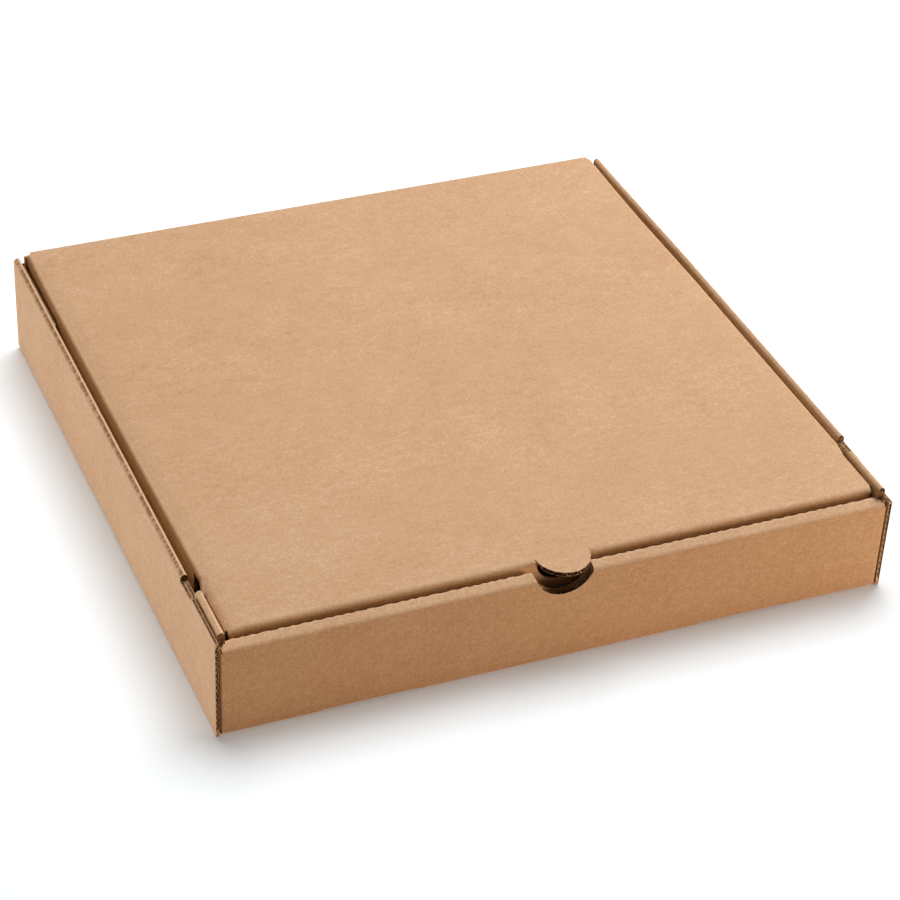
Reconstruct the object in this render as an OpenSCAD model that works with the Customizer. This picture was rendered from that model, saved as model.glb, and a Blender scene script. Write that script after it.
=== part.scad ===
// Pizza box folded from one die-cut sheet of E-flute board.
// +Z is up, the front wall faces -Y, the origin is the middle of the base's underside.

/* [Box] */
// Outer width over the two side walls
box_w = 316; // [284:1:360]
// Length of the side walls, front to back
box_d = 316; // [284:1:360]
// Height of the side walls
wall_h = 52; // [46:0.5:64]

/* [Board] */
// Thickness of the corrugated board
board = 1.6; // [1.4:0.1:1.8]
// Hollow left between the two layers of a rolled wall
roll_gap = 1.0; // [0.8:0.1:1.2]
// Inside radius of a plain crease
fold_r = 0.5; // [0.3:0.1:0.7]
// Distance from one flute to the next
flute_pitch = 3.2; // [2.6:0.2:4]
// Thickness of each paper facing
liner = 0.24; // [0.2:0.02:0.3]

/* [Front wall] */
// How far the front crease lies below the side walls' top
front_drop = 7; // [6:0.5:9]
// Width of the sloping strip on top of the front wall
strip_w = 7; // [6:0.2:8]
// Slope of that strip, in degrees
strip_slope = 15; // [8:1:20]
// Radius of the finger notch
notch_r = 14.2; // [12:0.2:16]

/* [Front corners] */
// Length of the double corner piece beside each side wall
corner_len = 30; // [22:1:40]
// Space between the side wall and the corner piece
corner_gap = 0.8; // [0.5:0.1:1]
// Outside radius of the sharp upright crease at each front corner
corner_r = 0.9; // [0.7:0.1:1.2]
// How far the side wall's raw top beside the corner piece lies below the rolled top
raw_drop = 1.8; // [1.2:0.1:2.4]
// Length of the cut in the side wall's rolled top, behind the corner piece
cut_len = 14.5; // [10:0.5:20]
// Depth of that cut
cut_deep = 3.6; // [2.8:0.1:4.4]

/* [Lid] */
// Space between the lid's side flaps and the layers beside them
lid_side_gap = 0.8; // [0.5:0.1:1.2]
// Space between the lid's front crease and the front wall
lid_front_gap = 1.2; // [0.8:0.1:1.4]
// How much lower the lid lies at the front than at the back
lid_drop = 3.6; // [2.4:0.2:4.2]
// How much higher the lid lies at the back than the side walls
lid_rise = 1; // [0.6:0.1:1.2]
// Depth of the lid's side flaps and tuck flap
flap_depth = 36; // [28:1:40]
// Radius of the thumb tab
tab_r = 12.4; // [10:0.2:13]
// Space at the back crease between the lid and the back wall
hinge_gap = 0.25; // [0.2:0.05:0.4]

/* [Locks] */
// Length of each lock tab
lock_len = 42; // [30:1:50]
// Distance of each lock tab's middle from the middle of its wall
lock_at = 89; // [70:1:100]
// Room around each lock tab in its slot
lock_gap = 0.3; // [0.2:0.1:0.5]

/* [Hidden] */
$fn = 48;
kraft = [0.80, 0.62, 0.45];

// Outside radii of the creases
bend_r = board + fold_r;
roll_in = roll_gap / 2;
roll_r = board + roll_in;
tight_in = 0.1;
tight_r = board + tight_in;

// Faces of the tray
front_y = -box_d / 2;
side_back_y = box_d / 2;
back_y = side_back_y + bend_r;
roll_w = 2 * roll_r;
foot_z = board + lock_gap;

// Front wall, from the front crease to the inner panel's foot
front_h = wall_h - front_drop;
turn_front = 90 - strip_slope;
trim_front = bend_r * tan(turn_front / 2);
strip_back = strip_w * cos(strip_slope);
strip_top = front_h + strip_w * sin(strip_slope);
foot_y = bend_r + lock_gap + board;
inner_lean = atan((strip_back - foot_y) / strip_top);
turn_back = 90 + strip_slope + inner_lean;
trim_back = tight_r * tan(turn_back / 2);

// Front corner pieces, measured inward from the side wall's outer face
corner_u = board + corner_gap;
corner_in = corner_u + roll_w;
corner_start = 2 * board + 0.8;
corner_back = corner_start + corner_len;
strip_end_u = corner_u + corner_r;
strip_end_back_u = corner_in + 1.9;
corner_top = front_h + 1.4;
raw_top = wall_h - raw_drop;

// The side wall's rolled part starts behind the cut
inner_start = corner_back + 1;
cut_start = corner_back - 2;
roll_start = cut_start + cut_len;

// Back wall and its end flaps, inboard of the side walls' inner panels
end_flap_u = roll_w + 0.2;
end_flap_len = 58;
lid_u = end_flap_u + board + lid_side_gap;

// Lid, about the back crease
hinge_y = back_y - board / 2;
hinge_z = wall_h + lid_rise - board / 2;
back_h = hinge_z - board / 2 - hinge_gap;
lid_face = front_y + strip_back + lid_front_gap;
lid_len = hinge_y - lid_face;
lid_tilt = asin(lid_drop / lid_len);
lid_half = box_w / 2 - lid_u;
lid_front_half = box_w / 2 - corner_in - 1.6;
tuck_half = lid_front_half - 1;
tuck_lean = 5;
side_lean = 3;
step_at = corner_back - strip_back + 1;
flap_at = step_at + 17;

// Corrugated section
flute_w = flute_pitch - 0.7;
flute_peak = 0.1;

// The finger notch's middle, level with the flat sheet's crease
notch_z = front_h + strip_w - 2.2;
notch_low = notch_z - notch_r;

// One face of a folded sheet as points: each step of the run is a straight length, the angle
// it is then folded by and the fold's inside radius, which is below zero where the inside of a
// sharp crease is a plain corner; off is the depth below the outer face
function sheet(run, off, x, y, dir, i = 0) =
    i == len(run) ? [] :
    let (step = run[i], turn = step[1], r = board + step[2],
         ex = x + step[0] * cos(dir), ey = y + step[0] * sin(dir),
         cx = ex + r * sin(dir), cy = ey - r * cos(dir),
         n = ceil(turn / 15))
    concat(i == 0 ? [[x + off * sin(dir), y - off * cos(dir)]] : [],
           turn == 0 ? [[ex + off * sin(dir), ey - off * cos(dir)]] :
           r < off ? [[cx - (r - off) / cos(turn / 2) * sin(dir - turn / 2),
                       cy + (r - off) / cos(turn / 2) * cos(dir - turn / 2)]] :
               [for (k = [0 : n]) let (b = dir - turn * k / n)
                   [cx - (r - off) * sin(b), cy + (r - off) * cos(b)]],
           sheet(run, off, cx - r * sin(dir - turn), cy + r * cos(dir - turn), dir - turn, i + 1));

function flipped(points) = [for (i = [len(points) - 1 : -1 : 0]) points[i]];

// The cross-section of a folded sheet, with the board on the right of its run
module folded(run, x, y, dir, start = []) {
    polygon(concat(sheet(run, 0, x, y, dir), flipped(sheet(run, board, x, y, dir)), start));
}

// Sections of the side walls, front and back walls and upright corners, drawn outward and down
module along_y(y0, y1) {
    translate([0, y1, 0]) rotate([0, 180, 0]) rotate([90, 0, 0]) linear_extrude(y1 - y0) children();
}

module along_x(half) {
    translate([-half, 0, 0]) rotate([180, 0, 0]) rotate([90, 0, 90]) linear_extrude(2 * half) children();
}

module along_z(z0, z1) {
    translate([0, 0, z0]) rotate([0, 0, 180]) linear_extrude(z1 - z0) children();
}

module both_sides() {
    children();
    mirror([1, 0, 0]) children();
}

// A box between two corners
module block(a, b) {
    translate(a) cube(b - a);
}

// The hollows between the facings: a row of count flutes along x, running along z
module flutes(count, depth) {
    linear_extrude(depth)
        for (i = [0 : count - 1]) {
            x = (i - (count - 1) / 2) * flute_pitch - flute_pitch / 4;
            polygon([[x - flute_w / 2, liner], [x + flute_w / 2, liner],
                     [x, board - liner - flute_peak]]);
            polygon([[x + flute_pitch / 2 - flute_w / 2, board - liner],
                     [x + flute_pitch / 2, liner + flute_peak],
                     [x + flute_pitch / 2 + flute_w / 2, board - liner]]);
        }
}

// Base with the creases around it and the slots for the lock tabs
module base() {
    lap = 10;
    edge = [[lap, 90, fold_r], [4, 0, 0]];
    side = box_w / 2 - bend_r - lap;
    front = -front_y - bend_r - lap;
    back = back_y - bend_r - lap;
    difference() {
        union() {
            block([-side - 5, -front - 5, 0], [side + 5, back + 5, board]);
            both_sides()
                along_y(front_y + bend_r + lock_gap, side_back_y) folded(edge, side, 0, 0);
            along_x(box_w / 2 - corner_u - lock_gap) folded(edge, front, 0, 0);
            mirror([0, 1, 0])
                along_x(box_w / 2 - end_flap_u - bend_r - lock_gap) folded(edge, back, 0, 0);
        }
        for (s = [-1, 1]) {
            translate([s * lock_at, 0, 0])
                block([-lock_len / 2 - lock_gap, front_y + bend_r + lock_gap / 4, -1],
                      [lock_len / 2 + lock_gap, front_y + foot_y + lock_gap, foot_z]);
            both_sides()
                translate([-box_w / 2, s * lock_at, 0])
                    block([roll_w - board - lock_gap / 2, -lock_len / 2 - lock_gap, -1],
                          [roll_w + lock_gap, lock_len / 2 + lock_gap, foot_z]);
        }
    }
}

// Side wall: outer panel, roll over the top, inner panel with two lock tabs
module side_wall() {
    foot = bend_r + 1;
    roll = [[wall_h - foot - roll_r, 180, roll_in], [wall_h - roll_r - foot_z, 0, 0]];
    difference() {
        union() {
            translate([-box_w / 2, front_y, 0]) {
                block([0, 0, foot], [board, box_d, wall_h - cut_deep]);
                block([0, 0, foot], [board, cut_start, raw_top]);
                block([0, 0, lock_gap], [board, bend_r, foot + 1]);
                block([roll_w - board, inner_start, foot_z],
                      [roll_w, roll_start + 5, wall_h - cut_deep]);
            }
            along_y(front_y + roll_start, side_back_y) folded(roll, box_w / 2, -foot, -90);
            for (s = [-1, 1])
                translate([-box_w / 2, s * lock_at, 0])
                    block([roll_w - board, -lock_len / 2, 0], [roll_w, lock_len / 2, foot_z + 3]);
        }
        // Hollow flutes in the raw front edge
        translate([-box_w / 2, front_y - 1, wall_h / 2])
            rotate([0, -90, -90]) flutes(floor((wall_h - 6) / flute_pitch), 7);
    }
}

// Front wall: outer panel, sloping strip, inner panel with two lock tabs
module front_wall() {
    foot = bend_r + 1;
    half = box_w / 2 - strip_end_u;
    down = strip_top / cos(inner_lean) - trim_back - 0.15;
    run = [[front_h - trim_front - foot, turn_front, fold_r],
           [strip_w - trim_front - trim_back, turn_back, tight_in], [down, 0, 0]];
    count = floor((2 * notch_r - 5) / flute_pitch);
    gap_y = front_y + board + lock_gap;
    difference() {
        along_x(half) folded(run, -front_y, -foot, -90);
        // The slanting ends of the strip and the straight ends of the inner panel
        both_sides() {
            translate([-box_w / 2, gap_y, front_h - 3])
                linear_extrude(9)
                    polygon([[0, 0], [strip_end_u + 0.3, 0], [strip_end_back_u, strip_back - board],
                             [strip_end_back_u, 12], [0, 12]]);
            translate([-box_w / 2, gap_y, -1])
                block([0, 0, 0], [strip_end_back_u, 12, front_h - 1]);
            // Between the lock tabs the inner panel stops at the base
            block([lock_at + lock_len / 2, gap_y, -1], [box_w / 2, gap_y + 12, foot_z]);
        }
        block([-lock_at + lock_len / 2, gap_y, -1], [lock_at - lock_len / 2, gap_y + 12, foot_z]);
        // The finger notch goes through both panels and the strip in one round
        translate([0, front_y + strip_back + 2, notch_z])
            rotate([90, 0, 0]) cylinder(r = notch_r, h = strip_back + 4);
        // Hollow flutes in the notch's raw edges
        translate([0, front_y, notch_low - 5]) flutes(count, 12);
        translate([0, front_y + strip_back, strip_top]) rotate([-inner_lean, 0, 0])
            translate([0, -board, notch_low - strip_top - 5]) flutes(count, 12);
    }
}

// Corner piece: the front wall's double end, folded back beside the side wall
module corner_piece() {
    low = bend_r + lock_gap;
    roll = [[wall_h - low - roll_r, 180, roll_in], [wall_h - low - roll_r, 0, 0]];
    turn = [[6, 90, corner_r - board], [corner_start - corner_r + 5, 0, 0]];
    difference() {
        along_z(low, corner_top)
            folded(turn, box_w / 2 - strip_end_u - 6, -front_y, 0);
        // The slanting cut that frees the strip from the corner piece
        translate([-box_w / 2, front_y + board + 0.15, 0]) rotate([90, 0, 0])
            linear_extrude(board + 1)
                polygon([[20, front_h - trim_front - 1], [strip_end_u + 0.2, front_h - trim_front - 1],
                         [corner_u - 0.3, corner_top + 0.2], [corner_u - 0.3, wall_h + 9],
                         [20, wall_h + 9]]);
    }
    along_y(front_y + corner_start, front_y + corner_back)
        folded(roll, box_w / 2 - corner_u, -low, -90);
}

// Back wall with its two end flaps
module back_wall() {
    half = box_w / 2 - end_flap_u - bend_r;
    low = bend_r + lock_gap;
    block([-half, back_y - board, bend_r + 1], [half, back_y, back_h]);
    both_sides()
        mirror([0, 1, 0])
            along_z(low + 1, back_h - 4)
                folded([[6, 90, fold_r], [end_flap_len, 0, 0]], half - 6, back_y, 0);
}

module tray() {
    color(kraft) {
        base();
        both_sides() side_wall();
        front_wall();
        both_sides() corner_piece();
        back_wall();
    }
}

// Lid: flat panel with a thumb tab, a tuck flap and two side flaps
module lid() {
    flat_half = lid_half - bend_r;
    flat_len = lid_len - bend_r;
    step_y = lid_len - step_at;
    flap_y = lid_len - flap_at;
    tab_cut = tab_r + lock_gap;
    tuck_depth = flap_depth - bend_r;
    mid = board / 2;
    tuck = [[flat_len, 90 + tuck_lean, fold_r], [tuck_depth, 0, 0]];
    flap = [[8, 90 + side_lean, fold_r], [tuck_depth, 0, 0]];
    back_edge = [for (b = [255 : -15 : 105]) [mid * cos(b), mid * sin(b)]];
    color(kraft)
        translate([0, hinge_y, hinge_z]) rotate([lid_tilt, 0, 0]) {
            difference() {
                translate([flat_half, 0, 0]) rotate([0, 0, 180]) rotate([90, 0, 90])
                    linear_extrude(2 * flat_half) folded(tuck, 0, mid, 0, back_edge);
                // The thumb tab's cut goes through the crease and the tuck flap
                translate([0, -flat_len - 0.15, mid]) rotate([90, 0, 0]) cylinder(r = tab_cut, h = 12);
                intersection() {
                    translate([0, -flat_len + 6, mid]) rotate([90, 0, 0]) cylinder(r = tab_cut, h = 18);
                    block([-20, -flat_len - 20, -20], [20, -flat_len + 20, -mid - 0.4]);
                }
                // Slanting lower corners of the tuck flap
                both_sides()
                    translate([-flat_half, -flat_len + 8, mid]) rotate([90, 0, 0])
                        linear_extrude(16)
                            polygon([[-1, -flap_depth - 1], [9, -flap_depth - 1], [0.5, -flap_depth + 12],
                                     [0.5, -bend_r], [-1, -bend_r]]);
            }
            block([-lid_front_half, -flat_len + 0.5, -mid], [lid_front_half, -step_y, mid]);
            difference() {
                translate([0, -flat_len, -mid]) rotate([0, 0, 90]) cylinder(r = tab_r, h = board);
                // Hollow flutes in the thumb tab's raw edge
                translate([0, -flat_len - 1, -mid]) rotate([90, 0, 0])
                    flutes(floor((2 * tab_r - 2) / flute_pitch), tab_r);
            }
            both_sides()
                difference() {
                    translate([0, -step_y + lock_gap, 0]) rotate([0, 0, 180]) rotate([90, 0, 0])
                        linear_extrude(step_y - lock_gap - 2)
                            folded(flap, flat_half - 8, mid, 0);
                    // The flap itself stops short of the lid's narrow front, with slanting ends
                    translate([-lid_half - 1, 0, mid - bend_r - 0.2]) rotate([90, 0, 90])
                        linear_extrude(12) {
                            polygon([[-step_y, 0], [-flap_y, 0], [-flap_y + 6, -flap_depth - 2],
                                     [-step_y, -flap_depth - 2]]);
                            polygon([[0, 0], [-3, 0], [-14, -flap_depth - 2], [0, -flap_depth - 2]]);
                        }
                }
        }
}

tray();
lid();
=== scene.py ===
# %% [markdown]
# A closed pizza box, folded from one sheet of brown corrugated board. The imported model gives
# every panel and fold its true place, and this lesson dresses it: the board gets its soft
# folds, its torn crease lines, its raw edges and its kraft paper.
# The first step loads the model and gives each solid its place in world space.

# %% Load the frame
import math

import bmesh
import bpy
from mathutils import Matrix, Vector, geometry, noise
from mathutils.bvhtree import BVHTree


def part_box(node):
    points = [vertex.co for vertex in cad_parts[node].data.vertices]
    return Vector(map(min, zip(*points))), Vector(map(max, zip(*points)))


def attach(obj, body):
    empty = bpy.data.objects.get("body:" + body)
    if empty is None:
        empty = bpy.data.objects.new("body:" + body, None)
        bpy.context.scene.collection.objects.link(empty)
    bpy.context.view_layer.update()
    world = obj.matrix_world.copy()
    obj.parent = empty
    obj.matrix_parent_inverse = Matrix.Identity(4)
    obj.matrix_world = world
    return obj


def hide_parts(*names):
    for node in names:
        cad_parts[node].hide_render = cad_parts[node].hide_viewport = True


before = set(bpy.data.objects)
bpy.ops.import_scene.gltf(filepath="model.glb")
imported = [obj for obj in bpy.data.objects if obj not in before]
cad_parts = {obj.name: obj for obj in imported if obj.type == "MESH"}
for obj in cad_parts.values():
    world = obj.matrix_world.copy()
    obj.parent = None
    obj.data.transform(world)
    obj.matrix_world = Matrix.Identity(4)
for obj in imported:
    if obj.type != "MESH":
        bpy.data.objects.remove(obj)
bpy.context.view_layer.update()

MM = 0.001

# %% [markdown]
# The camera stands in front of the box and to its left, and looks down on it. Its place was
# found by fitting the box's own corners to the picture, so it needs no shift. A long lens keeps
# the far edges almost as long as the near ones. The matrix is built from the direction that the
# camera looks in, because three angles are easier to fit and to read than a free rotation.

# %% Camera
PICTURE = 900
SENSOR = 36.0
FOCAL_PIXELS = 2929.3
FAR_CLIP = 50
CAMERA_AT = Vector((-441.87, -1052.99, 810.14)) * MM
CAMERA_TURN = math.radians(23.290)
CAMERA_DOWN = math.radians(35.141)
CAMERA_ROLL = math.radians(-2.403)


def camera_matrix():
    ahead = Vector((math.cos(CAMERA_DOWN) * math.sin(CAMERA_TURN),
                    math.cos(CAMERA_DOWN) * math.cos(CAMERA_TURN),
                    -math.sin(CAMERA_DOWN)))
    right = ahead.cross(Vector((0, 0, 1))).normalized()
    down = ahead.cross(right)
    c, s = math.cos(CAMERA_ROLL), math.sin(CAMERA_ROLL)
    x_axis = right * c + down * s
    y_axis = right * s - down * c
    turn = Matrix((x_axis, y_axis, -ahead)).transposed()
    return Matrix.Translation(CAMERA_AT) @ turn.to_4x4()


camera_data = bpy.data.cameras.new("camera")
camera_data.sensor_width = SENSOR
camera_data.lens = FOCAL_PIXELS * SENSOR / PICTURE
camera_data.clip_end = FAR_CLIP
camera = bpy.data.objects.new("camera", camera_data)
bpy.context.collection.objects.link(camera)
camera.matrix_world = camera_matrix()
bpy.context.scene.camera = camera
bpy.context.scene.view_settings.view_transform = "Standard"
print("camera", [round(v, 3) for v in camera.location], "lens", round(camera_data.lens, 1))

# %% [markdown]
# A finish is a tree of shader nodes. Written as nodes, even a sum takes three lines, so a small
# class wraps a socket and lets Python's own operators add the Math nodes. Every other node comes
# from one method that takes its type, its settings and its inputs.

# %% Shader helpers


class Value:
    def __init__(self, finish, socket):
        self.finish = finish
        self.socket = socket

    def __add__(self, other):
        return self.finish.maths("ADD", self, other)

    def __sub__(self, other):
        return self.finish.maths("SUBTRACT", self, other)

    def __mul__(self, other):
        return self.finish.maths("MULTIPLY", self, other)

    def __radd__(self, other):
        return self.finish.maths("ADD", other, self)

    def __rsub__(self, other):
        return self.finish.maths("SUBTRACT", other, self)

    def __rmul__(self, other):
        return self.finish.maths("MULTIPLY", other, self)


class Finish:
    def __init__(self, name):
        self.material = bpy.data.materials.new(name)
        self.material.use_nodes = True
        self.tree = self.material.node_tree
        self.tree.nodes.clear()

    @classmethod
    def on_tree(cls, tree):
        made = cls.__new__(cls)
        made.tree = tree
        return made

    def node(self, kind, settings=None, inputs=None, out=0):
        made = self.tree.nodes.new(kind)
        for key, value in (settings or {}).items():
            setattr(made, key, value)
        for key, value in (inputs or {}).items():
            if isinstance(value, Value):
                self.tree.links.new(value.socket, made.inputs[key])
            else:
                made.inputs[key].default_value = value
        return Value(self, made.outputs[out]) if made.outputs else made

    def maths(self, operation, a, b=0.0, clamp=False):
        return self.node("ShaderNodeMath", {"operation": operation, "use_clamp": clamp}, {0: a, 1: b})

    def clip(self, value):
        return self.maths("ADD", value, 0.0, clamp=True)

    def above(self, value, low, high):
        return self.node("ShaderNodeMapRange", {"interpolation_type": "SMOOTHSTEP"},
                         {"Value": value, "From Min": low, "From Max": high})

    def place(self):
        return self.node("ShaderNodeTexCoord", out="Object")

    def attribute(self, name):
        return self.node("ShaderNodeAttribute", {"attribute_name": name}, out="Fac")

    def stretched(self, vector, by):
        return self.node("ShaderNodeVectorMath", {"operation": "MULTIPLY"}, {0: vector, 1: by})

    def noise(self, vector, scale=1.0, detail=2.0, rough=0.5):
        return self.node("ShaderNodeTexNoise", None, {"Vector": vector, "Scale": scale,
                                                      "Detail": detail, "Roughness": rough})

    def mix(self, factor, a, b):
        return self.node("ShaderNodeMix", {"data_type": "RGBA"}, {0: factor, 6: a, 7: b}, out=2)

    def surface(self, shader):
        self.node("ShaderNodeOutputMaterial", None, {"Surface": shader})
        return self.material


print("shader helpers ready")

# %% [markdown]
# The box stands on a plain white sweep under soft light. The floor is a matt white that keeps
# the shadow, and for the camera alone it glows a little, so the paper round the box comes out
# white with no extra light on the box. The world is white to the camera and dim and warm to the
# box, which stands for the little light that comes back from a room.

# %% Floor and world
FLOOR_HALF = 6.0
FLOOR_SEEN = (0.76, 0.81, 0.84, 1)
FLOOR_BOUNCE = (0.42, 0.37, 0.34, 1)
FLOOR_GLOW = 0.18
SKY_LIGHT = (0.085, 0.054, 0.032, 1)
WHITE = (1, 1, 1, 1)


def sees_background(finish):
    path = finish.node("ShaderNodeLightPath").socket.node
    rays = [Value(finish, path.outputs[name]) for name in
            ("Is Camera Ray", "Is Glossy Ray", "Is Transmission Ray")]
    return finish.clip(rays[0] + rays[1] + rays[2])


def floor_finish():
    paper = Finish("white_sweep")
    seen = sees_background(paper)
    colour = paper.mix(seen, FLOOR_BOUNCE, FLOOR_SEEN)
    matt = paper.node("ShaderNodeBsdfDiffuse", None, {"Color": colour})
    glow = paper.node("ShaderNodeEmission", None, {"Strength": seen * FLOOR_GLOW})
    return paper.surface(paper.node("ShaderNodeAddShader", None, {0: matt, 1: glow}))


def make_floor():
    bm = bmesh.new()
    bmesh.ops.create_grid(bm, x_segments=1, y_segments=1, size=FLOOR_HALF)
    mesh = bpy.data.meshes.new("floor")
    bm.to_mesh(mesh)
    bm.free()
    floor = bpy.data.objects.new("floor", mesh)
    bpy.context.collection.objects.link(floor)
    mesh.materials.append(floor_finish())
    return floor


def make_world():
    world = bpy.data.worlds.new("studio")
    bpy.context.scene.world = world
    world.use_nodes = True
    sky = world.node_tree.nodes["Background"]
    room = Finish.on_tree(world.node_tree)
    seen = room.mix(sees_background(room), SKY_LIGHT, WHITE)
    world.node_tree.links.new(seen.socket, sky.inputs["Color"])
    return world


floor = make_floor()
world = make_world()
print("floor", floor.name, "and world", world.name)

# %% [markdown]
# Four soft lamps. A large one, high on the right and a little behind, lights the lid. One on the
# left keeps the left wall bright, and it is so low that the wall's roll shades the gap beside
# the lid. A warm one, low at the front right, lifts that end of the front wall. The last lights
# the floor alone, so the shadow can stay pale while the box keeps its contrast.
# Light linking makes this possible: each lamp names a collection of the objects that it lights.
# The box's lamps also name the objects that stop their light, and the floor isn't one of them,
# so two of these lamps can stand below the level of the floor.

# %% Lamps
BOX, FLOOR = "box_only", "floor_only"
LAMP_AIM = Vector((0, 0, 0.03))
LAMPS = (
    ("overhead", (0.85, 0.36, 1.92), 1.35, 50.5, (1.00, 0.92, 0.98), BOX),
    ("left_low", (-1.90, 0.10, -0.27), 0.45, 21.2, (0.95, 0.88, 1.00), BOX),
    ("right_bounce", (1.08, -0.74, -0.22), 0.50, 13.4, (1.00, 0.67, 0.51), BOX),
    ("floor_wash", (0.28, 0.44, 1.35), 1.30, 35.0, (1.00, 1.00, 1.00), FLOOR),
)
lit = {name: bpy.data.collections.new(name) for name in (BOX, FLOOR)}
for group in lit.values():
    bpy.context.scene.collection.children.link(group)
lit[FLOOR].objects.link(floor)


def make_lamp(name, place, size, watts, colour, lights):
    data = bpy.data.lights.new(name, "AREA")
    data.shape = "SQUARE"
    data.size = size
    data.energy = watts
    data.color = colour
    lamp = bpy.data.objects.new(name, data)
    lamp.light_linking.receiver_collection = lit[lights]
    if lights == BOX:
        lamp.light_linking.blocker_collection = lit[BOX]
    bpy.context.collection.objects.link(lamp)
    turn = (LAMP_AIM - Vector(place)).to_track_quat("-Z", "Y")
    lamp.matrix_world = Matrix.Translation(place) @ turn.to_matrix().to_4x4()
    return lamp


for lamp_facts in LAMPS:
    make_lamp(*lamp_facts)
print("lamps", [facts[0] for facts in LAMPS])

# %% [markdown]
# Kraft board. Its liner is unbleached paper: soft clouds, a fine mottle, and fibres that lie
# mostly across the flutes. The flutes press through as a very faint ripple. Where a fold has
# strained the paper, its surface cracks into light flecks, so the mesh carries a value that is
# one on the folds, and another that marks the dark cuts along a crease. On the side panels the
# sheet has turned, so there the fibres run upwards.
# A photograph of paper could be laid on instead, but it would need unwrapping and would repeat.
# Noise in the object's own space has neither trouble, and it rides along when the lid turns.

# %% Kraft liner
KRAFT = (0.640, 0.432, 0.236, 1)
KRAFT_DARK = (0.550, 0.350, 0.183, 1)
KRAFT_LIGHT = (0.735, 0.540, 0.325, 1)
SCORED = (0.300, 0.172, 0.077, 1)
MID = 0.5
SIDE_FROM, SIDE_TO = 0.6, 0.8
CLOUD_SCALE, CLOUD_SHARE = 30.0, 0.45
DRIFT_STRETCH, DRIFT_SHARE = (150.0, 260.0, 260.0), 0.70
MOTTLE_SCALE, MOTTLE_SHARE, MOTTLE_HIGH = 900.0, 1.6, 0.05
FIBRE_ON_X, FIBRE_ON_Z = (380.0, 1500.0, 1500.0), (1500.0, 1500.0, 380.0)
FIBRE_SHARE, FIBRE_HIGH = 0.55, 0.05
FLUTE_PITCH, RIPPLE_SHARE = 3.2 * MM, 0.012
TONE_SPAN = 0.45
SPECK_SCALE, SPECK_FROM, SPECK_TO, SPECK_SHARE = 1500.0, 0.70, 0.78, 0.35
FLECK_SCALE, FLECK_FROM, FLECK_TO, FLECK_SHARE, FLECK_HIGH = 700.0, 0.50, 0.68, 0.55, 0.03
SCORE_SEEN_FROM, SCORE_SEEN_TO = 0.1, 0.7
PAPER_ROUGH, ROUGH_SPREAD, PAPER_SHEEN, PAPER_BUMP = 0.80, 0.2, 0.15, 0.35


def side_share(finish):
    normal = finish.node("ShaderNodeNewGeometry", out="Normal")
    across = finish.node("ShaderNodeSeparateXYZ", None, {0: normal})
    return finish.above(finish.maths("ABSOLUTE", across), SIDE_FROM, SIDE_TO)


def flute_ripple(finish, place, side):
    xyz = finish.node("ShaderNodeSeparateXYZ", None, {0: place}).socket.node
    x, z = Value(finish, xyz.outputs["X"]), Value(finish, xyz.outputs["Z"])
    return finish.maths("SINE", (x + (z - x) * side) * (2 * math.pi / FLUTE_PITCH))


def kraft_finish(name):
    board = Finish(name)
    place, side = board.place(), side_share(board)
    clouds = board.noise(place, CLOUD_SCALE) - MID
    drift = board.noise(board.stretched(place, DRIFT_STRETCH), detail=3.0, rough=0.6) - MID
    mottle = board.noise(place, MOTTLE_SCALE, detail=3.0, rough=0.65) - MID
    fibre_x = board.noise(board.stretched(place, FIBRE_ON_X))
    fibre_z = board.noise(board.stretched(place, FIBRE_ON_Z))
    fibre = fibre_x + (fibre_z - fibre_x) * side - MID
    ripple = flute_ripple(board, place, side) * RIPPLE_SHARE
    tone = clouds * CLOUD_SHARE + drift * DRIFT_SHARE + mottle * MOTTLE_SHARE + fibre * FIBRE_SHARE + ripple
    shade = board.mix(board.above(tone, 0.0, TONE_SPAN), KRAFT, KRAFT_LIGHT)
    shade = board.mix(board.above(0.0 - tone, 0.0, TONE_SPAN), shade, KRAFT_DARK)
    specks = board.above(board.noise(place, SPECK_SCALE, detail=1.0), SPECK_FROM, SPECK_TO)
    shade = board.mix(specks * SPECK_SHARE, shade, KRAFT_DARK)
    flecks = board.above(board.noise(place, FLECK_SCALE), FLECK_FROM, FLECK_TO) * board.attribute("fold")
    shade = board.mix(flecks * FLECK_SHARE, shade, KRAFT_LIGHT)
    score = board.above(board.attribute("score"), SCORE_SEEN_FROM, SCORE_SEEN_TO)
    shade = board.mix(score, shade, SCORED)
    height = ripple + mottle * MOTTLE_HIGH + fibre * FIBRE_HIGH + flecks * FLECK_HIGH
    bump = board.node("ShaderNodeBump", None, {"Height": height, "Distance": MM, "Strength": PAPER_BUMP})
    skin = board.node("ShaderNodeBsdfPrincipled", None, {
        "Base Color": shade, "Roughness": PAPER_ROUGH + mottle * ROUGH_SPREAD, "Normal": bump,
        "Specular IOR Level": PAPER_SHEEN})
    return board.surface(skin)


kraft = kraft_finish("kraft_liner")
print("finish", kraft.name, len(kraft.node_tree.nodes), "nodes")

# %% [markdown]
# Cut edges. A cut shows the board's layers: two thin pale liners with the brown fluted paper
# between them, crushed a little by the die. The inset that makes those layers gives the middle
# its own, darker finish, which is partly the fluted paper's brown and partly painted shade: its
# near-black patches paint the shadow inside the flute holes. The same finish paints shade into the
# modelled flute hollows and the ends of the rolls. Two browns and one noise are enough, because a
# cut edge is only a few pixels wide.

# %% Cut edges, with painted flute shade
CORE = (0.260, 0.152, 0.068, 1)
# The dark tone is near black: painted shade inside the flute holes, over the fluted paper's darker brown.
CORE_DARK_AND_SHADE = (0.065, 0.033, 0.012, 1)
GRAIN_SCALE, GRAIN_FROM, GRAIN_TO = 900.0, 0.38, 0.62
GRAIN_HIGH, GRAIN_BUMP, CORE_ROUGH = 0.2 * MM, 0.6, 0.90


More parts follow.
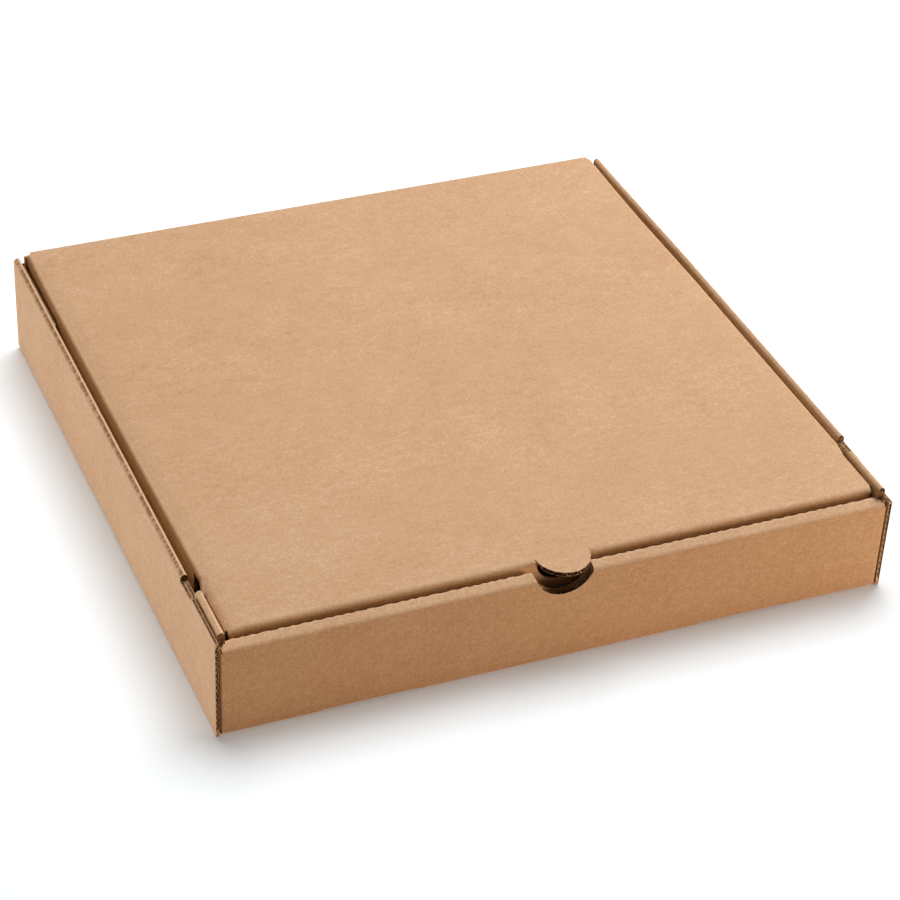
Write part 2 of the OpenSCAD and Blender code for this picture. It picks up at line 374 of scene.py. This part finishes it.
def core_and_shade_finish():
    board = Finish("fluted_core_and_shade")
    grain_and_shade = board.noise(board.place(), GRAIN_SCALE)
    # Painted shade: the noise sets near-black patches that stand for the shadow in the flute holes.
    shade = board.mix(board.above(grain_and_shade, GRAIN_FROM, GRAIN_TO), CORE_DARK_AND_SHADE, CORE)
    bump = board.node("ShaderNodeBump", None, {
        "Height": grain_and_shade, "Distance": GRAIN_HIGH, "Strength": GRAIN_BUMP})
    skin = board.node("ShaderNodeBsdfPrincipled", None, {
        "Base Color": shade, "Roughness": CORE_ROUGH, "Normal": bump,
        "Specular IOR Level": PAPER_SHEEN})
    return board.surface(skin)


core_and_shade = core_and_shade_finish()
print("finish", core_and_shade.name, len(core_and_shade.node_tree.nodes), "nodes")

# %% [markdown]
# The folded sheet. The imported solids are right, but their folds are in flat facets and their
# crease lines are perfect. The sheet could be modelled again from nothing, but a copy of each
# solid keeps every panel in its place. The copy's double vertices are merged, and its flat
# triangles are dissolved into whole panels, which are easier to sort and to cut.

# %% Copy a solid
KRAFT_SLOT, CORE_AND_SHADE_SLOT = 0, 1
TINY = 1e-6
FLAT = math.radians(0.3)


def board_copy(node):
    bm = bmesh.new()
    bm.from_mesh(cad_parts[node].data)
    for face in bm.faces:
        face.material_index = KRAFT_SLOT
    bmesh.ops.remove_doubles(bm, verts=bm.verts, dist=TINY)
    bmesh.ops.dissolve_limit(bm, angle_limit=FLAT, verts=bm.verts, edges=bm.edges)
    return bm


print("solids to copy", sorted(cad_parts))

# %% [markdown]
# Which faces are cuts? A panel is as thick as the board, so a ray that goes in through its face
# comes out after 1.6 mm. Behind a cut edge there is far more board, and in the wall of a flute
# there is far less. The ray starts inside the face's largest triangle, because the middle of a
# bent or hollow face can lie outside it. Cut faces that meet at a small angle are one edge.

# %% Find the cuts
PAPER = (1.0 * MM, 2.4 * MM)
ROUND = math.radians(40)


def inner_points(bm):
    best = {}
    for loops in bm.calc_loop_triangles():
        a, b, c = (loop.vert.co for loop in loops)
        area = geometry.area_tri(a, b, c)
        if area > best.get(loops[0].face, (0, None))[0]:
            best[loops[0].face] = (area, (a + b + c) / 3)
    return {face: point for face, (area, point) in best.items()}


def sort_faces(bm):
    tree = BVHTree.FromBMesh(bm)
    cuts, hollows = set(), set()
    for face, point in inner_points(bm).items():
        depth = tree.ray_cast(point - face.normal * TINY, -face.normal)[3] or 0
        if depth < PAPER[0] or not any(edge.is_convex for edge in face.edges):
            hollows.add(face)
        elif depth > PAPER[1]:
            cuts.add(face)
    return cuts, hollows


def joined_groups(faces):
    left = set(faces)
    while left:
        group, todo = [], [left.pop()]
        while todo:
            face = todo.pop()
            group.append(face)
            for edge in face.edges:
                if edge.calc_face_angle(math.pi) < ROUND:
                    near = [other for other in edge.link_faces if other in left]
                    left.difference_update(near)
                    todo.extend(near)
        yield group


print("a panel is", [round(depth / MM, 1) for depth in PAPER], "mm deep")

# %% [markdown]
# Layers of a cut. Each cut edge is inset: the rim stays kraft, as the ends of the two liners,
# and the middle sinks a little and turns into core, whose near-black patches are painted shade.
# Three kinds of edge are treated apart. The two at the back crease aren't cut in the real sheet,
# so they stay kraft. An edge with modelled flutes shows them by their own hollows, and the hollows
# take the dark core finish, which paints shade into them. The ends of a roll face the front and
# are plain core, because their layers are too close to tell apart, and there the dark core also
# paints the shade of the roll's hollow end.

# %% Layer the cuts
LINER = 0.26 * MM
CRUSH = 0.25 * MM
NARROW = 1.1 * MM
SAME_WAY = 0.99
FACES_FRONT = -0.9
HINGE = (159.3 * MM, 52.2 * MM)
HINGE_REACH = 2 * MM
CLOSED_FROM = 150 * MM


def on_hinge(at):
    return math.hypot(at.y - HINGE[0], at.z - HINGE[1]) < HINGE_REACH


def layer_cut_edges(bm):
    cuts, hollows = sort_faces(bm)
    # Painted shade: the inside of each flute hollow takes the dark core finish.
    for face in hollows:
        face.material_index = CORE_AND_SHADE_SLOT
    layered = 0
    for group in list(joined_groups(cuts)):
        if all(on_hinge(face.calc_center_median()) for face in group):
            continue
        members = set(group)
        rim = [edge for face in group for edge in face.edges if not members.issuperset(edge.link_faces)]
        flat = all(face.normal.dot(group[0].normal) > SAME_WAY for face in group)
        if any(hollows.intersection(edge.link_faces) for edge in rim):
            closed = not flat or abs(group[0].calc_center_median().x) > CLOSED_FROM
            for face in group:
                face.material_index = KRAFT_SLOT if closed else CORE_AND_SHADE_SLOT
            continue
        width = 2 * sum(face.calc_area() for face in group) / sum(edge.calc_length() for edge in rim)
        # A roll's end takes the dark core finish, which paints the shade of the roll's hollow end.
        roll_end = flat and group[0].normal.y < FACES_FRONT
        if width > NARROW and not roll_end:
            bmesh.ops.inset_region(bm, faces=group, thickness=LINER, depth=-CRUSH,
                                   use_boundary=True, use_even_offset=True)
            layered += 1
        for face in group:
            face.material_index = CORE_AND_SHADE_SLOT
    return layered


print("a liner is", round(LINER / MM, 2), "mm thick")

# %% [markdown]
# A grid to move. A panel with corners only at its ends can't bend, so planes cut the copy every
# few millimetres, and the edges along a torn crease are split finer still. A subdivision
# modifier would also add points, but it would round the corners off.

# %% Cut a grid
GRID = 8 * MM
SPLIT_FROM = 2 * MM
SPLITS = 9


def cut_planes(bm, axis, places, inside=None):
    faces = [face for face in bm.faces if inside is None or inside(face.calc_center_median())]
    edges = {edge for face in faces for edge in face.edges}
    geom = [*faces, *edges, *{vert for edge in edges for vert in edge.verts}]
    normal = [float(i == axis) for i in range(3)]
    for place in places:
        at = [place * step for step in normal]
        cut = bmesh.ops.bisect_plane(bm, geom=geom, dist=TINY, plane_co=at, plane_no=normal)
        geom = cut["geom"]


def slice_grid(bm, axis, start, stop):
    count = max(1, round((stop - start) / GRID))
    cut_planes(bm, axis, [start + (stop - start) * i / count for i in range(1, count)])


def split_along(bm, axis, inside):
    chosen = []
    for edge in bm.edges:
        a, b = (vert.co for vert in edge.verts)
        if abs(a[axis] - b[axis]) > SAME_WAY * edge.calc_length() > SPLIT_FROM and inside((a + b) / 2):
            chosen.append(edge)
    bmesh.ops.subdivide_edges(bm, edges=chosen, cuts=SPLITS)
    return len(chosen)


print("grid", round(GRID / MM, 1), "mm")

# %% [markdown]
# Torn teeth. The front wall's strip is folded over on a line of short cuts, so its back edge
# stands in small uneven teeth, about five millimetres apart. A sine gives the pitch, noise makes
# it wander, and a steep smooth step gives the teeth their flat tops. A bump can't show them,
# because they change the edge's outline, so the vertices near that edge really move.

# %% Crease teeth
STRIP_BACK = (-151.2 * MM, 46.8 * MM)
TOOTH_PITCH = 5.4 * MM
TOOTH_OUT, TOOTH_UP, TOOTH_REACH = 0.55 * MM, 0.45 * MM, 2.0 * MM
TOOTH_DRIFT, TOOTH_DRIFT_STEP, TOOTH_DRIFT_SEED = 0.9, 17 * MM, 3.1
TOOTH_ROUGH, TOOTH_ROUGH_STEP, TOOTH_ROUGH_SEED = 0.5, 4 * MM, 8.3
TOOTH_LOW, TOOTH_RISE = 0.15, 0.45
WANDER_ROW = 0.37


def clip(value):
    return min(max(value, 0), 1)


def ease(share):
    return share * share * (3 - 2 * share)


def wander(x, step, seed):
    return noise.noise(Vector((x / step, seed, WANDER_ROW)))


def tooth(x):
    place = x / TOOTH_PITCH + TOOTH_DRIFT * wander(x, TOOTH_DRIFT_STEP, TOOTH_DRIFT_SEED)
    wave = math.sin(2 * math.pi * place) + TOOTH_ROUGH * wander(x, TOOTH_ROUGH_STEP, TOOTH_ROUGH_SEED)
    return ease(clip((wave + TOOTH_LOW) / TOOTH_RISE)) - 0.5


def crease_teeth(v):
    away = math.hypot(v.y - STRIP_BACK[0], v.z - STRIP_BACK[1])
    lift = tooth(v.x) * max(0, 1 - away / TOOTH_REACH)
    return Vector((0, TOOTH_OUT * lift, TOOTH_UP * lift))


print("tooth at middle", round(tooth(0.0), 2))

# %% [markdown]
# Score dashes. The tops of the side walls are folded on a row of shorter cuts, which leave dark
# dashes along the outside of the roll. Each vertex of the roll gets a value by its angle round
# the roll and by a broken wave along it. The finish darkens by that value, and the vertex sinks
# by it, so the dash is a small dent as well as a dark mark. The two sides are seen at different
# angles round the roll, so each has an arc of its own.

# %% Score dashes
ROLL_AT = (155.9 * MM, 49.9 * MM)
ROLL_FROM = -111.5 * MM
ROLL_LOW, ROLL_INSIDE = 0.2 * MM, 1.8 * MM
LEFT_ARC, RIGHT_ARC = (64, 50), (38, 30)
SCORE_PITCH, SCORE_DEEP, SCORE_DOWN = 2.2 * MM, 0.20 * MM, 0.8
DASH_DRIFT, DASH_DRIFT_STEP, DASH_DRIFT_SEED = 1.3, 7 * MM, 5.7
DASH_ROUGH, DASH_ROUGH_STEP, DASH_ROUGH_SEED = 1.9, 1.6 * MM, 2.2
DASH_WAVE, DASH_LOW, DASH_RISE, DASH_LEAST = 0.5, 0.6, 1.1, 0.35


def on_score(v):
    if v.y < ROLL_FROM or v.z < ROLL_AT[1] - ROLL_LOW:
        return 0.0
    out, up = abs(v.x) - ROLL_AT[0], v.z - ROLL_AT[1]
    if math.hypot(out, up) < ROLL_INSIDE:
        return 0.0
    middle, spread = LEFT_ARC if v.x < 0 else RIGHT_ARC
    return max(0.0, 1 - abs(math.degrees(math.atan2(up, out)) - middle) / spread)


def dash(y, side):
    place = y / SCORE_PITCH + DASH_DRIFT * wander(y, DASH_DRIFT_STEP, DASH_DRIFT_SEED + side)
    rough = DASH_ROUGH * wander(y, DASH_ROUGH_STEP, DASH_ROUGH_SEED - side)
    wave = DASH_WAVE * math.sin(2 * math.pi * place) + rough
    return DASH_LEAST + (1 - DASH_LEAST) * clip((wave + DASH_LOW) / DASH_RISE)


def score_marks(v):
    side = math.copysign(1, v.x)
    depth = on_score(v) * dash(v.y, side)
    return depth, Vector((-side, 0, -SCORE_DOWN)) * (SCORE_DEEP * depth)


print("dash at middle", round(dash(0.0, 1), 2))

# %% [markdown]
# Walls under strain. At the lock slots the front wall's lower edge is cut a little higher than
# the base. The layers of the rolled walls are pressed together, and more so higher up. The right
# wall leans outwards, and takes the front wall's right end and its corner piece with it. Its
# lean grows evenly with height, because a bend between two rows of vertices would push the
# hollow flutes out through the paper. Beside that corner piece the wall's raw top is sunk out
# of sight. A lattice could bend a whole wall, but here each layer needs a move of its own.

# %% Strained walls
HALF_WIDTH = 158 * MM
WALL_DEPTH, OUTER_WALL = 7 * MM, 2 * MM
SLOT_FROM, SLOT_TO = 68 * MM, 110 * MM
SLOT_HIGH, SLOT_FRONT, SLOT_LIFT = 2.5 * MM, -155 * MM, 0.6 * MM
ROLL_HOLLOW, CORNER_HOLLOW, ROLL_GAP = 1.6 * MM, 4.0 * MM, 1.0 * MM
CORNER_FROM, CORNER_END = -154.1 * MM, -123.5 * MM
PRESS, PRESS_FROM, PRESS_OVER = 0.8 * MM, 8 * MM, 20 * MM
CORNER_LEAN, CORNER_HIGH = 0.3 * MM, 46.2 * MM
WALL_LEAN, LEAN_FROM, LEAN_OVER = 1.2 * MM, 158 * MM, 120 * MM
LEAN_START, LEAN_EASE, LEAN_HIGH = 128 * MM, 20 * MM, 54 * MM
RAW_THICK, RAW_STEP = 1.7 * MM, 0.6 * MM
RAW_FROM, RAW_TOP, RAW_SUNK = 40 * MM, 50.2 * MM, 46.2 * MM
RAW_END, CUT_TOP = -126 * MM, 48.4 * MM


def slot_lift(v):
    low = v.z < SLOT_HIGH and v.y < SLOT_FRONT and SLOT_FROM < abs(v.x) < SLOT_TO
    return Vector((0, 0, SLOT_LIFT * (1 - v.z / SLOT_HIGH))) if low else Vector()


def pressed(v):
    inward = HALF_WIDTH - abs(v.x)
    in_front = v.y < CORNER_END
    if inward > WALL_DEPTH or v.y < CORNER_FROM:
        return Vector()
    hollow = CORNER_HOLLOW if in_front else ROLL_HOLLOW
    out = PRESS * clip((inward - hollow) / ROLL_GAP) * clip((v.z - PRESS_FROM) / PRESS_OVER)
    if v.x > 0 and in_front and inward > OUTER_WALL:
        out += CORNER_LEAN * clip(v.z / CORNER_HIGH)
    return Vector((math.copysign(out, v.x), 0, 0))


def leaning(v):
    if v.y < CORNER_END:
        near = clip((v.x - LEAN_START) / LEAN_EASE)
    else:
        near = float(HALF_WIDTH - v.x < WALL_DEPTH)
    share = ease(clip((LEAN_FROM - v.y) / LEAN_OVER))
    return Vector((WALL_LEAN * near * share * clip(v.z / LEAN_HIGH), 0, 0))


def sunk_edge(v):
    if v.x < HALF_WIDTH - RAW_THICK or v.y > RAW_END + RAW_STEP or v.z < RAW_FROM:
        return Vector()
    if v.y > RAW_END - RAW_STEP:
        return Vector((0, 0, min(0, CUT_TOP - v.z)))
    return Vector((0, 0, (v.z - RAW_FROM) / (RAW_TOP - RAW_FROM) * (RAW_SUNK - RAW_TOP)))


print("pressed by", round(PRESS / MM, 1), "mm, leaning by", round(WALL_LEAN / MM, 1), "mm")

# %% [markdown]
# A lid that sits askew. A used lid is never quite square: this one lies closer to the right wall,
# most of all at the front, and its panel eases out and down towards its side folds. Near the
# back crease the droop fades out, so the lid stays clear of the wall there. The thumb tab is a
# little longer than in the model and its cut edge a little thicker, because a cut board springs
# open a little. A shape key could hold all this too, but a function says why each point moves.

# %% Eased lid
EASE_FROM, EASE_OVER = 140 * MM, 9 * MM
LEFT_WIDER, RIGHT_WIDER, FRONT_WIDER = 0.2 * MM, 1.4 * MM, 2.3 * MM
RIGHT_MORE, MORE_FROM, MORE_OVER = 1.2 * MM, 95 * MM, 60 * MM
LEFT_DROOP, RIGHT_DROOP, FRONT_DROOP = 0.9 * MM, 0.4 * MM, 1.2 * MM
EDGE_FROM, EDGE_OVER, EDGE_DROP = 147.2 * MM, 2.6 * MM, 1.5 * MM
LID_SKEW, LID_BACK, LID_LONG, BACK_FADE = 2.1 * MM, 158 * MM, 309 * MM, 30 * MM
FRONT_PART = -118 * MM
TAB_ROOT, TAB_LONG, TAB_STRETCH = -150.5 * MM, 10 * MM, 1.0 * MM
TAB_MIDDLE, TAB_OPEN, TAB_CLEAR = 48.6 * MM, 0.5 * MM, 1.4 * MM


def eased_lid(v):
    share = clip((abs(v.x) - EASE_FROM) / EASE_OVER)
    edge = clip((abs(v.x) - EDGE_FROM) / EDGE_OVER)
    wider, droop = (-LEFT_WIDER, LEFT_DROOP) if v.x < 0 else (RIGHT_WIDER, RIGHT_DROOP)
    droop *= share ** 2
    if v.x > 0 and v.y > FRONT_PART:
        wider += RIGHT_MORE * clip((MORE_FROM - v.y) / MORE_OVER)
    if v.x < 0 and v.y < FRONT_PART:
        wider = -FRONT_WIDER
        droop = FRONT_DROOP * share ** 2 + EDGE_DROP * edge ** 2
    droop *= clip((LID_BACK - v.y) / BACK_FADE)
    skew = LID_SKEW * clip((LID_BACK - v.y) / LID_LONG) ** 2
    return Vector((wider * share + skew, 0, -droop))


def opened_tab(v):
    reach = clip((TAB_ROOT - v.y) / TAB_LONG)
    under = TAB_OPEN if v.y < TAB_ROOT - TAB_CLEAR and v.z < TAB_MIDDLE else 0
    return Vector((0, -TAB_STRETCH * reach, -under))


print("lid skew", round(LID_SKEW / MM, 1), "mm")

# %% [markdown]
# Fold values and finishing. On a fold the facets meet at a small angle, and at a cut they meet
# squarely, so the mesh itself says where the paper was strained, and a vertex value keeps it for
# the finish. A finished piece is shaded smooth with sharp cut edges, and its normals are weighted
# by area, so flat panels look flat. Then it rides on its body and takes its solid's place.

# %% Fold values
FOLD_ANGLES = (math.radians(5), math.radians(40))
SHARP = math.radians(32)


def mark_folds(bm):
    layer = bm.verts.layers.float.new("fold")
    for edge in bm.edges:
        if FOLD_ANGLES[0] < edge.calc_face_angle(0) < FOLD_ANGLES[1]:
            for vert in edge.verts:
                vert[layer] = 1.0


def mark_scores(bm):
    layer = bm.verts.layers.float.new("score")
    for vert in bm.verts:
        vert[layer], move = score_marks(vert.co)
        vert.co += move


def move_vertices(bm, moves):
    for vert in bm.verts:
        vert.co += sum((move(vert.co) for move in moves), Vector())


def finish_piece(bm, name, node, body):
    mesh = bpy.data.meshes.new(name)
    bm.normal_update()
    for face in bm.faces:
        face.smooth = True
    bm.to_mesh(mesh)
    bm.free()
    mesh.materials.append(kraft)
    mesh.materials.append(core_and_shade)
    mesh.set_sharp_from_angle(angle=SHARP)
    piece = bpy.data.objects.new(name, mesh)
    lit[BOX].objects.link(piece)
    even = piece.modifiers.new("even_normals", "WEIGHTED_NORMAL")
    even.keep_sharp = True
    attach(piece, body)
    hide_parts(node)
    return piece


print("folds from", [round(math.degrees(angle)) for angle in FOLD_ANGLES], "degrees")

# %% [markdown]
# The tray: base, rolled side walls, front wall with its strip and notch, corner pieces, back wall
# and lock tabs. On the real box it is the lower half of the sheet, and folding locks it with no
# glue. Folding a flat sheet with bones would show how it is made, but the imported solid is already
# folded, so the copy is only layered, cut into its grid, marked and moved. Planes just inside
# and outside the lock slots keep the slots' ends square when their edges lift.

# %% Tray
STRIP_MARGIN = 0.5 * MM
NEAR_SLOT_HIGH, NEAR_SLOT_FRONT, SLOT_SIDE = 6 * MM, -150 * MM, 0.1 * MM
SLOT_ENDS = [end + step for end in (SLOT_FROM, SLOT_TO) for step in (-SLOT_SIDE, SLOT_SIDE)]
low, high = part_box("tray")
bm = board_copy("tray")
cut_count = layer_cut_edges(bm)


def near_strip(at):
    away = math.hypot(at.y - STRIP_BACK[0], at.z - STRIP_BACK[1])
    return away < TOOTH_REACH + STRIP_MARGIN


def near_slot(at):
    return at.z < NEAR_SLOT_HIGH and at.y < NEAR_SLOT_FRONT


def near_score(at):
    return on_score(at) > 0


cut_planes(bm, 0, sorted([side * end for side in (-1, 1) for end in SLOT_ENDS]), near_slot)
slice_grid(bm, 0, low[0], high[0])
slice_grid(bm, 1, low[1], high[1])
split_count = split_along(bm, 0, near_strip) + split_along(bm, 1, near_score)
mark_folds(bm)
mark_scores(bm)
move_vertices(bm, (crease_teeth, slot_lift, pressed, sunk_edge, leaning))
tray_faces = len(bm.faces)
tray = finish_piece(bm, "folded_tray", "tray", "tray")
print("tray", tray_faces, "faces,", cut_count, "cut edges,", split_count, "split edges")

# %% [markdown]
# The lid: the top panel, its side flaps, its front flap and the thumb tab. It is the upper half of
# the same sheet, so it gets the same steps and the same two finishes. Its side folds bend most
# in the last centimetre, and there extra planes close up the grid.

# %% Lid
LID_CUTS = [place * MM for place in (141.5, 143, 144.5, 146, 147.3, 148.2, 149)]
low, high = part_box("lid")
bm = board_copy("lid")
cut_count = layer_cut_edges(bm)
slice_grid(bm, 0, low[0], high[0])
slice_grid(bm, 1, low[1], high[1])
cut_planes(bm, 0, [side * place for side in (-1, 1) for place in LID_CUTS])
mark_folds(bm)
move_vertices(bm, (eased_lid, opened_tab))
lid_faces = len(bm.faces)
lid = finish_piece(bm, "folded_lid", "lid", "lid")
print("lid", lid_faces, "faces,", cut_count, "cut edges")
